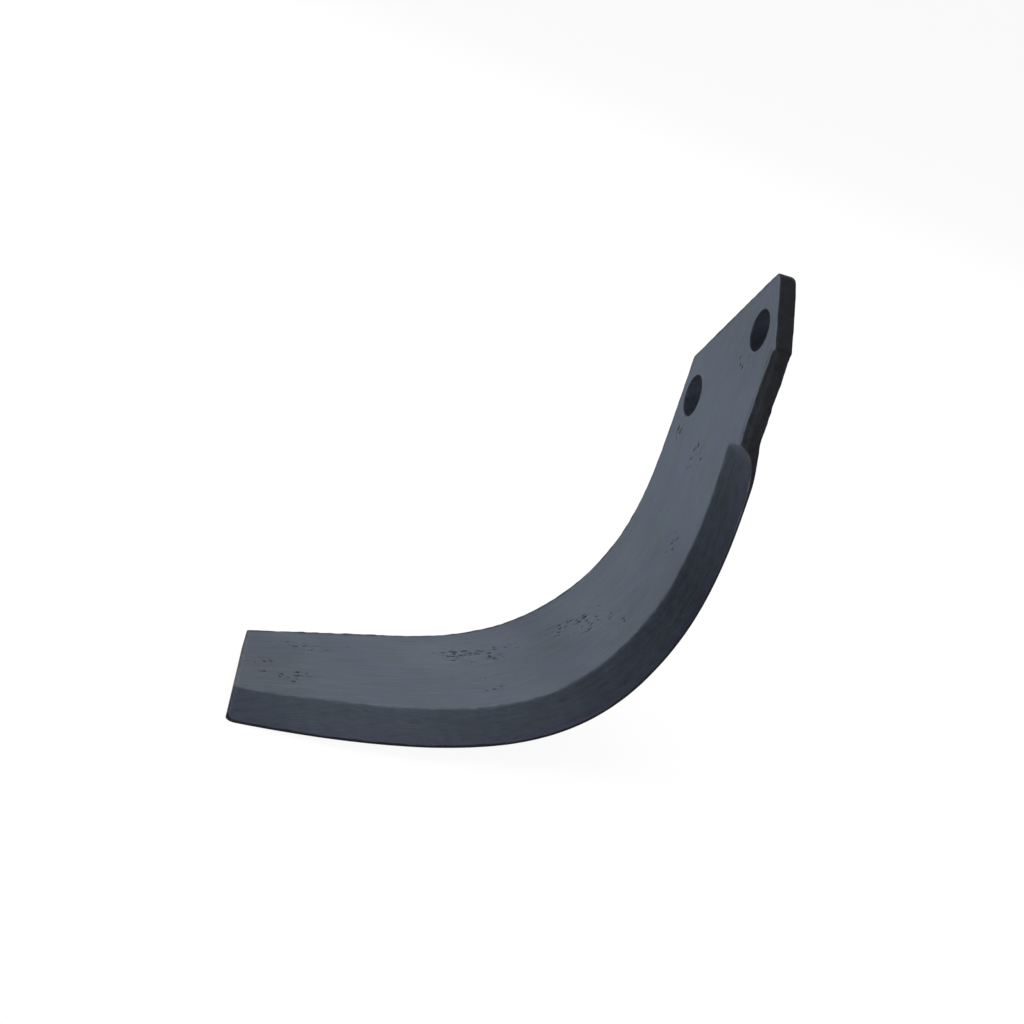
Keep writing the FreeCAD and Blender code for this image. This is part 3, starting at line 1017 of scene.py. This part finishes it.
@dataclass(frozen=True)
class Bend:
    """The eased sideways bend and the forged unevenness, in metres."""

    bend_start: float = 0.034
    ease_in: float = 0.050
    steady: float = 0.049
    ease_out: float = 0.068
    neutral_r: float = 0.0715
    half_plate: float = 0.0035
    wave_depth: float = 0.00016
    wave_size: float = 0.030
    pit_depth: float = 0.00022
    band_depth: float = 0.00035
    band_size: float = 0.0042
    seed: float = 7.0
    line_points: int = 700
    line_step: float = 0.0005

    NAMES: ClassVar[tuple[str, ...]] = (
        "bend_start",
        "ease_in",
        "steady",
        "ease_out",
        "neutral_r",
        "half_plate",
        "wave_depth",
        "wave_size",
        "pit_depth",
        "band_depth",
        "band_size",
        "seed",
    )

    def tree(self, finish: bpy.types.Material) -> bpy.types.NodeTree:
        """Build the Geometry Nodes tree that bends and roughens a flat blank.

        Args:
            finish: material for the result.

        Returns:
            The node tree, with named inputs for this bend's sizes.
        """
        made = bpy.data.node_groups.new("bend_blank", "GeometryNodeTree")
        made.interface.new_socket("Geometry", in_out="INPUT", socket_type="NodeSocketGeometry")
        for name in self.NAMES:
            made.interface.new_socket(name, in_out="INPUT", socket_type="NodeSocketFloat")
        made.interface.new_socket("Geometry", in_out="OUTPUT", socket_type="NodeSocketGeometry")
        tree = Tree(made)
        source = made.nodes.new("NodeGroupInput")

        def given(name: str) -> Value:
            """One of the tree's named inputs."""
            return Value(tree, source.outputs[name])

        line = self._neutral_line(tree, given)
        geometry_in = Value(tree, source.outputs["Geometry"])
        bent = self._bent(tree, given, line, geometry_in)
        forged = self._forged(tree, given, bent)
        real = tree.node("GeometryNodeRealizeInstances", None, {"Geometry": forged})
        done = tree.node("GeometryNodeSetMaterial", None, {"Geometry": real, "Material": finish})
        out = made.nodes.new("NodeGroupOutput")
        tree.feed(out.inputs["Geometry"], done)
        return made

    def apply(self, flat: bpy.types.Object, finish: bpy.types.Material) -> bpy.types.Mesh:
        """Bend a flat blank.

        Args:
            flat: the blank, which keeps no modifier afterwards.
            finish: material for the result.

        Returns:
            The bent mesh.
        """
        modifier = flat.modifiers.new("bend", "NODES")
        modifier.node_group = self.tree(finish)
        for item in modifier.node_group.interface.items_tree:
            if item.in_out == "INPUT" and item.name in self.NAMES:
                modifier[item.identifier] = getattr(self, item.name)
        graph = bpy.context.evaluated_depsgraph_get()
        bent = bpy.data.meshes.new_from_object(flat.evaluated_get(graph), depsgraph=graph)
        flat.modifiers.remove(modifier)
        return bent

    def _angle(self, given: Callable[[str], Value], run: Value) -> Value:
        """Angle the plate has turned after a run of its neutral line."""
        rising = run.within(0.0, given("ease_in"))
        steady = (run - given("ease_in")).within(0.0, given("steady"))
        fading = (run - given("ease_in") - given("steady")).within(0.0, given("ease_out"))
        turned = rising * rising / (2.0 * given("ease_in")) + steady
        turned = turned + fading - fading * fading / (2.0 * given("ease_out"))
        return turned / given("neutral_r")

    def _neutral_line(self, tree: Tree, given: Callable[[str], Value]) -> Value:
        """Curve of the neutral line: y sideways and z down from the first bend line."""
        step = self.line_step
        row = {"Count": self.line_points, "Offset": (0.0, 0.0, -step)}
        points = tree.node("GeometryNodeMeshLine", None, row, "Mesh")
        index = tree.node("GeometryNodeInputIndex")
        angle = self._angle(given, (index + 0.5) * step)
        kind = {"data_type": "FLOAT"}
        side, down = (
            tree.node("GeometryNodeAccumulateField", kind, {"Value": -part * step}, "Trailing")
            for part in (angle.sine(), angle.cosine())
        )
        place = tree.node("ShaderNodeCombineXYZ", None, {"Y": side, "Z": down})
        moved = tree.node("GeometryNodeSetPosition", None, {"Geometry": points, "Position": place})
        return tree.node("GeometryNodeMeshToCurve", None, {"Mesh": moved})

    def _bent(self, tree: Tree, given: Callable[[str], Value], line: Value, blank: Value) -> Value:
        """Lay the flat blank along the neutral line."""
        here = tree.node("GeometryNodeInputPosition")
        x, y, z = (tree.node("ShaderNodeSeparateXYZ", None, {0: here}, axis) for axis in "XYZ")
        run = -z - given("bend_start")
        settings = {"mode": "LENGTH", "use_all_curves": True}
        inputs = {"Curves": line, "Length": run.most(0.0)}
        sample = tree.node("GeometryNodeSampleCurve", settings, inputs, "Position")
        line_y, line_z = (tree.node("ShaderNodeSeparateXYZ", None, {0: sample}, axis) for axis in "YZ")
        angle = self._angle(given, run)
        off = y + given("half_plate")
        bent_y = line_y + off * angle.cosine() - given("half_plate")
        bent_z = line_z - off * angle.sine() - given("bend_start")
        past = run.ramp(0.0, 1e-7)
        new_y = y + (bent_y - y) * past
        new_z = z + (bent_z - z) * past
        place = tree.node("ShaderNodeCombineXYZ", None, {"X": x, "Y": new_y, "Z": new_z})
        return tree.node("GeometryNodeSetPosition", None, {"Geometry": blank, "Position": place})

    def _forged(self, tree: Tree, given: Callable[[str], Value], bent: Value) -> Value:
        """Sink the surface unevenly: long hammer waves, scale pits and the rough forged band."""
        here = tree.node("GeometryNodeInputPosition")

        def noise(size: Value, shift: float, detail: float) -> Value:
            """Read one of the seeded noises at a size in metres."""
            inputs = {"Vector": here, "W": given("seed") + shift, "Scale": 1.0 / size, "Detail": detail}
            return tree.node("ShaderNodeTexNoise", {"noise_dimensions": "4D"}, inputs)

        strip = self._attribute(tree, "strip", "FLOAT_VECTOR")
        pits = scale_pits(tree, strip, self._attribute(tree, Mask.PITTED.value, "FLOAT"))
        sunk = noise(given("wave_size"), 0.0, 2.0).ramp(0.25, 0.75) * given("wave_depth")
        sunk = sunk + pits * given("pit_depth")
        sunk = sunk * self._attribute(tree, Mask.FORGE.value, "FLOAT")
        band = self._attribute(tree, Mask.BAND.value, "FLOAT")
        sunk = sunk + noise(given("band_size"), 5.0, 2.0).ramp(0.3, 0.7) * band * given("band_depth")
        normal = tree.node("GeometryNodeInputNormal")
        shift = tree.node("ShaderNodeVectorMath", {"operation": "SCALE"}, {0: normal, "Scale": -sunk})
        return tree.node("GeometryNodeSetPosition", None, {"Geometry": bent, "Offset": shift})

    @staticmethod
    def _attribute(tree: Tree, name: str, kind: str) -> Value:
        """Read a named attribute of the blank."""
        return tree.node("GeometryNodeInputNamedAttribute", {"data_type": kind}, {"Name": name})


# ------------------------------------------------------------------------------------------
# Finish
# ------------------------------------------------------------------------------------------


@dataclass(frozen=True)
class ForgedSteel:
    """Dark slate heat-treated steel with scale pits and drawn streaks; its lighter edges are partly abraded and
    partly painted highlight, with painted highlight beside the pits and painted light and shade along the bar.
    """

    base: tuple[float, float, float] = (0.046, 0.057, 0.078)
    # Bevel colour, darker than the face colour: partly the ground surface's own colour, partly painted shade.
    bevel: tuple[float, float, float] = (0.0305, 0.042, 0.057)
    rim: tuple[float, float, float] = (0.0075, 0.0072, 0.0092)
    # Colour of the lighter edges, partly abrasion and partly painted highlight, and of the painted highlight
    # beside the pits.
    worn_and_highlit: tuple[float, float, float] = (0.15, 0.165, 0.19)
    pit: tuple[float, float, float] = (0.018, 0.022, 0.029)
    green: tuple[float, float, float] = (0.955, 1.015, 0.95)
    violet: tuple[float, float, float] = (1.05, 0.98, 1.08)
    lip: tuple[float, float, float] = (0.95, 0.80, 0.98)
    sheen: tuple[float, float, float] = (0.78, 0.88, 1.0)
    metallic: float = 0.6
    roughness: float = 0.40
    # Painted light and shade along the bar, partly the steel's own tone: lighter neck, darker bend and tip,
    # darker bevel at the shoulder and the knee.
    neck_lift: float = 0.60
    bend_drop: float = 0.18
    tip_drop: float = 0.44
    shoulder_drop: float = 0.18
    knee_drop: float = 0.14
    # Shift of the painted highlight beside each pit.
    pit_highlight_shift: tuple[float, float, float] = (0.0015, -0.0055, 0.0)

    NOISES: ClassVar[dict[str, tuple[float, float]]] = {
        "mottle": (28.0, 4.0),
        "cloud": (70.0, 5.0),
        "rub": (160.0, 3.0),
        "flake": (420.0, 4.0),
        "grain": (900.0, 3.0),
        "speck": (2600.0, 2.0),
    }
    DRAWN: ClassVar[dict[str, tuple[float, float, float]]] = {
        "streak": (22.0, 1.5, 4.0),
        "fine": (8.0, 0.5, 3.0),
        "hue": (26.0, 9.0, 3.0),
        "blotch": (6.0, 3.0, 4.0),
    }

    def build(self) -> bpy.types.Material:
        """Make the material."""
        material = bpy.data.materials.new("forged_steel")
        material.use_nodes = True
        material.node_tree.nodes.clear()
        tree = Tree(material.node_tree)
        coords = tree.node("ShaderNodeTexCoord", None, None, "Object")
        strip = tree.node("ShaderNodeUVMap", {"uv_map": "strip"})
        wear_and_highlight = self._mask(tree, Mask.WEAR)
        bevel = self._mask(tree, Mask.BEVEL)
        patch = self._mask(tree, Mask.PITTED)
        lip = self._mask(tree, Mask.LIP) * bevel
        mottle, cloud, rub, flake, grain, speck = (
            self._noise(tree, coords, scale, detail) for scale, detail in self.NOISES.values()
        )
        streak, fine, hue, blotch = (
            self._noise(tree, self._stretch(tree, strip, length, width), 1.0, detail)
            for length, width, detail in self.DRAWN.values()
        )
        band = self._mask(tree, Mask.BAND)
        scale = (self._mask(tree, Mask.RIM) + band * (0.3 + (flake - 0.5) * 2.4)).ramp(0.35, 0.9)
        pits = scale_pits(tree, strip, patch)
        # Painted highlight: a light crescent on one side of each pit.
        pit_highlight = (scale_pits(tree, self._shifted(tree, strip), patch) - pits).within(0.0, 1.0)
        shade = 1.0 + (mottle - 0.5) * 0.30 + (cloud - 0.5) * 0.22
        shade = shade + (grain - 0.5) * 0.26 + (speck - 0.5) * 0.16
        shade = shade + (streak - 0.5) * (0.10 + bevel * 0.7)
        shade = shade + (fine - 0.5) * (0.04 + bevel * 0.4)
        shade = shade + (blotch - 0.5) * (0.16 + bevel * 0.5 + patch * 0.3)
        shade = shade + (flake - 0.5) * scale * (2.0 + band * 1.5)
        # Tone along the bar, partly painted light and shade.
        shade = shade * self._tone_and_painted_light(tree, strip, bevel)
        # Darker on the bevel: partly its own colour, partly painted shade.
        colour = self._mix(tree, bevel, self.base, self.bevel)
        colour = self._times(tree, colour, self._mix(tree, hue.ramp(0.38, 0.62), self.green, self.violet))
        colour = self._times(tree, colour, self._mix(tree, lip.within(0.0, 1.0), (1.0, 1.0, 1.0), self.lip))
        colour = self._mix(tree, scale, colour, self.rim)
        colour = self._mix(tree, pits * 0.7, colour, self.pit)
        # Lighter edges, partly abrasion and partly painted highlight.
        rubbed_and_highlit = wear_and_highlight * (0.25 + 0.75 * rub.ramp(0.4, 0.65)) * (1.0 - scale * 0.8)
        colour = self._mix(tree, (rubbed_and_highlit * 0.55 + pit_highlight * 0.35).within(0.0, 1.0), colour, self.worn_and_highlit)
        inputs = {0: colour, "Scale": shade.within(0.3, 2.0)}
        colour = tree.node("ShaderNodeVectorMath", {"operation": "SCALE"}, inputs)
        rough = self.roughness + (mottle - 0.5) * 0.2 + pits * 0.25 + scale * 0.25 - rubbed_and_highlit * 0.12
        rough = rough + (streak - 0.5) * 0.16
        height = (grain - 0.5) * 0.025 + (cloud - 0.5) * 0.10 - pits * 0.14 + (flake - 0.5) * scale * 0.12
        height = height + (fine - 0.5) * (0.012 + bevel * 0.05) + (blotch - 0.5) * (0.03 + bevel * 0.06)
        bump = tree.node("ShaderNodeBump", None, {"Height": height, "Distance": 0.001, "Strength": 1.0})
        shader = tree.node(
            "ShaderNodeBsdfPrincipled",
            None,
            {
                "Base Color": colour,
                "Roughness": rough.within(0.2, 0.9),
                "Normal": bump,
                "Metallic": self.metallic * (1.0 - scale * 0.8),
                "Specular Tint": (*self.sheen, 1.0),
            },
        )
        tree.node("ShaderNodeOutputMaterial", None, {"Surface": shader})
        return material

    def _tone_and_painted_light(self, tree: Tree, strip: Value, bevel: Value) -> Value:
        """Slow change of tone along the bar, partly the steel's own tone and partly painted light and shade:
        lighter at the neck, darker at the bend and the tip, and darker on the bevel at the shoulder and the
        knee.
        """
        station = tree.node("ShaderNodeSeparateXYZ", None, {0: strip}, "X") * (1.0 / UV_PER_MM)

        def stretch(start: float, full: float, fading: float, end: float) -> Value:
            """Share that is 1 between two stations and fades to 0 on both sides."""
            return station.ramp(start, full) * (1.0 - station.ramp(fading, end))

        neck = stretch(-25.0, 12.0, 50.0, 76.0)
        bend = stretch(72.0, 92.0, 132.0, 160.0)
        shoulder = stretch(22.0, 40.0, 62.0, 95.0)
        knee = stretch(135.0, 160.0, 175.0, 200.0)
        front = 1.0 + neck * self.neck_lift - bend * self.bend_drop
        front = front - station.ramp(236.0, 276.0) * self.tip_drop
        return front + (1.0 - shoulder * self.shoulder_drop - knee * self.knee_drop - front) * bevel

    @staticmethod
    def _stretch(tree: Tree, strip: Value, length: float, width: float) -> Value:
        """Coordinates whose unit is a length along and a width across the strip, in mm."""
        inputs = {0: strip, 1: (1.0 / UV_PER_MM / length, 1.0 / UV_PER_MM / width, 1.0)}
        return tree.node("ShaderNodeVectorMath", {"operation": "MULTIPLY"}, inputs)

    def _shifted(self, tree: Tree, strip: Value) -> Value:
        """Coordinates moved a little across, for the painted highlight on one side of each pit."""
        return tree.node("ShaderNodeVectorMath", {"operation": "ADD"}, {0: strip, 1: self.pit_highlight_shift})

    @staticmethod
    def _times(tree: Tree, first: Value, second: Value) -> Value:
        """Multiply two colours."""
        return tree.node("ShaderNodeVectorMath", {"operation": "MULTIPLY"}, {0: first, 1: second})

    @staticmethod
    def _mask(tree: Tree, mask: Mask) -> Value:
        """Read one of the blade's masks."""
        return tree.node("ShaderNodeAttribute", {"attribute_name": mask.value}, None, "Fac")

    @staticmethod
    def _noise(tree: Tree, coords: Value, scale: float, detail: float) -> Value:
        """Read a noise pattern between 0 and 1."""
        return tree.node("ShaderNodeTexNoise", None, {"Vector": coords, "Scale": scale, "Detail": detail})

    @staticmethod
    def _mix(tree: Tree, share: Value, first: object, second: object) -> Value:
        """Blend two colours."""
        colours = [c if isinstance(c, Value) else (*c, 1.0) for c in (first, second)]
        inputs = {"Factor": share, 6: colours[0], 7: colours[1]}
        return tree.node("ShaderNodeMix", {"data_type": "RGBA"}, inputs, 2)


# ------------------------------------------------------------------------------------------
# The blade and its stage
# ------------------------------------------------------------------------------------------


@dataclass
class TillerBlade:
    """The whole blade: blank, bend and finish."""

    blank: Blank = field(default_factory=Blank)
    bend: Bend = field(default_factory=Bend)
    finish: ForgedSteel = field(default_factory=ForgedSteel)

    def build(self) -> bpy.types.Object:
        """Make the blade and stand it in for the CAD solid."""
        flat = BlankMesh(self.blank, Bevel(self.blank)).build()
        mesh = self.bend.apply(flat, self.finish.build())
        mesh.name = "forged_blade"
        blade = bpy.data.objects.new("forged_blade", mesh)
        bpy.context.scene.collection.objects.link(blade)
        bpy.data.objects.remove(flat, do_unlink=True)
        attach(blade, BODY)
        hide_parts(NODE)
        log.info("blade: %d triangles", sum(len(p.vertices) - 2 for p in mesh.polygons))
        return blade


@dataclass(frozen=True)
class Lamp:
    """A soft oblong lamp that faces the blade: direction, size in metres and power in watts."""

    name: str
    direction: tuple[float, float, float]
    size: tuple[float, float]
    power: float

    def build(self, centre: Vector, distance: float) -> None:
        """Place the lamp at a distance from the centre."""
        data = bpy.data.lights.new(self.name, "AREA")
        data.energy = self.power
        data.shape = "RECTANGLE"
        data.size, data.size_y = self.size
        lamp = bpy.data.objects.new(self.name, data)
        away = Vector(self.direction).normalized()
        lamp.location = centre + away * distance
        lamp.rotation_mode = "QUATERNION"
        lamp.rotation_quaternion = away.to_track_quat("Z", "Y")
        lamp.visible_camera = False
        bpy.context.scene.collection.objects.link(lamp)


@dataclass(frozen=True)
class Stage:
    """Pale floor, soft lamps and the camera."""

    azimuth: float = 71.504
    elevation: float = 13.838
    roll: float = 20.366
    distance: float = 1.4262
    lens: float = 140.625
    aim: tuple[float, float, float] = (0.00554, 0.00609, -0.0135)
    sensor: float = 36.0
    nearest: float = 0.05
    farthest: float = 40.0
    floor_size: float = 12.0
    floor_glow: float = 1.1
    floor_seen: float = 0.85
    floor_mirrored: float = 0.4
    world_light: float = 0.1
    lamp_distance: float = 1.5
    lamps: tuple[Lamp, ...] = (
        Lamp("low_key", (-1.0, -0.45, 0.1), (1.2, 1.2), 5.4),
        Lamp("high_key", (-1.0, 0.5, 0.7), (1.4, 1.2), 5.5),
        Lamp("side_key", (-1.0, -0.4, 0.7), (1.2, 1.0), 2.0),
        Lamp("top", (0.0, 0.0, 1.0), (1.2, 1.2), 7.5),
        Lamp("fill", (1.0, -0.5, 0.3), (1.2, 1.2), 9.5),
    )

    def build(self) -> None:
        """Make everything round the blade."""
        low, high = (Vector(corner) for corner in CAD_BOX)
        centre = (low + high) / 2
        self._camera(centre + Vector(self.aim))
        self._floor(low.z)
        self._world()
        for lamp in self.lamps:
            lamp.build(centre, self.lamp_distance)
        bpy.context.scene.view_settings.view_transform = "Standard"
        log.info("stage: floor, surroundings and %d lamps", len(self.lamps))

    def _camera(self, target: Vector) -> None:
        """Place the camera by its direction, roll and distance from the aim point."""
        a, e = math.radians(self.azimuth), math.radians(self.elevation)
        back = Vector((math.sin(a) * math.cos(e), -math.cos(a) * math.cos(e), math.sin(e)))
        camera = bpy.data.objects.new("camera", bpy.data.cameras.new("camera"))
        bpy.context.scene.collection.objects.link(camera)
        camera.data.lens = self.lens
        camera.data.sensor_width = self.sensor
        camera.data.clip_start = self.nearest
        camera.data.clip_end = self.farthest
        turn = (-back).to_track_quat("-Z", "Y").to_matrix().to_4x4()
        roll = Matrix.Rotation(math.radians(self.roll), 4, "Z")
        camera.matrix_world = Matrix.Translation(target + back * self.distance) @ turn @ roll
        bpy.context.scene.camera = camera

    def _floor(self, height: float) -> None:
        """Pale floor that shows white to the camera and keeps the blade's shadow."""
        half = self.floor_size / 2
        corners = [(-half, -half, height), (half, -half, height), (half, half, height), (-half, half, height)]
        mesh = bpy.data.meshes.new("floor")
        mesh.from_pydata(corners, [], [(0, 1, 2, 3)])
        floor = bpy.data.objects.new("floor", mesh)
        bpy.context.scene.collection.objects.link(floor)
        material = bpy.data.materials.new("pale_floor")
        material.use_nodes = True
        material.node_tree.nodes.clear()
        tree = Tree(material.node_tree)
        seen = tree.node("ShaderNodeLightPath", None, None, "Is Camera Ray")
        mirrored = tree.node("ShaderNodeLightPath", None, None, "Is Glossy Ray")
        matte = tree.node("ShaderNodeBsdfDiffuse", None, {"Color": (0.8, 0.8, 0.8, 1.0)})
        white = {"Color": (1.0, 1.0, 1.0, 1.0), "Strength": self.floor_glow}
        glow = tree.node("ShaderNodeEmission", None, white)
        share = seen * self.floor_seen + mirrored * self.floor_mirrored
        shader = tree.node("ShaderNodeMixShader", None, {0: share, 1: matte, 2: glow})
        tree.node("ShaderNodeOutputMaterial", None, {"Surface": shader})
        mesh.materials.append(material)

    def _world(self) -> None:
        """Even surroundings: white to the camera, softer as a light."""
        world = bpy.data.worlds.new("studio")
        bpy.context.scene.world = world
        world.use_nodes = True
        world.node_tree.nodes.clear()
        tree = Tree(world.node_tree)
        seen = tree.node("ShaderNodeLightPath", None, None, "Is Camera Ray")
        strength = self.world_light + seen * (1.0 - self.world_light)
        white = {"Color": (1.0, 1.0, 1.0, 1.0), "Strength": strength}
        light = tree.node("ShaderNodeBackground", None, white)
        tree.node("ShaderNodeOutputWorld", None, {"Surface": light})


def main() -> None:
    """Build the blade and its stage."""
    logging.basicConfig(level=logging.INFO)
    TillerBlade().build()
    Stage().build()


if __name__ == "__main__":
    main()
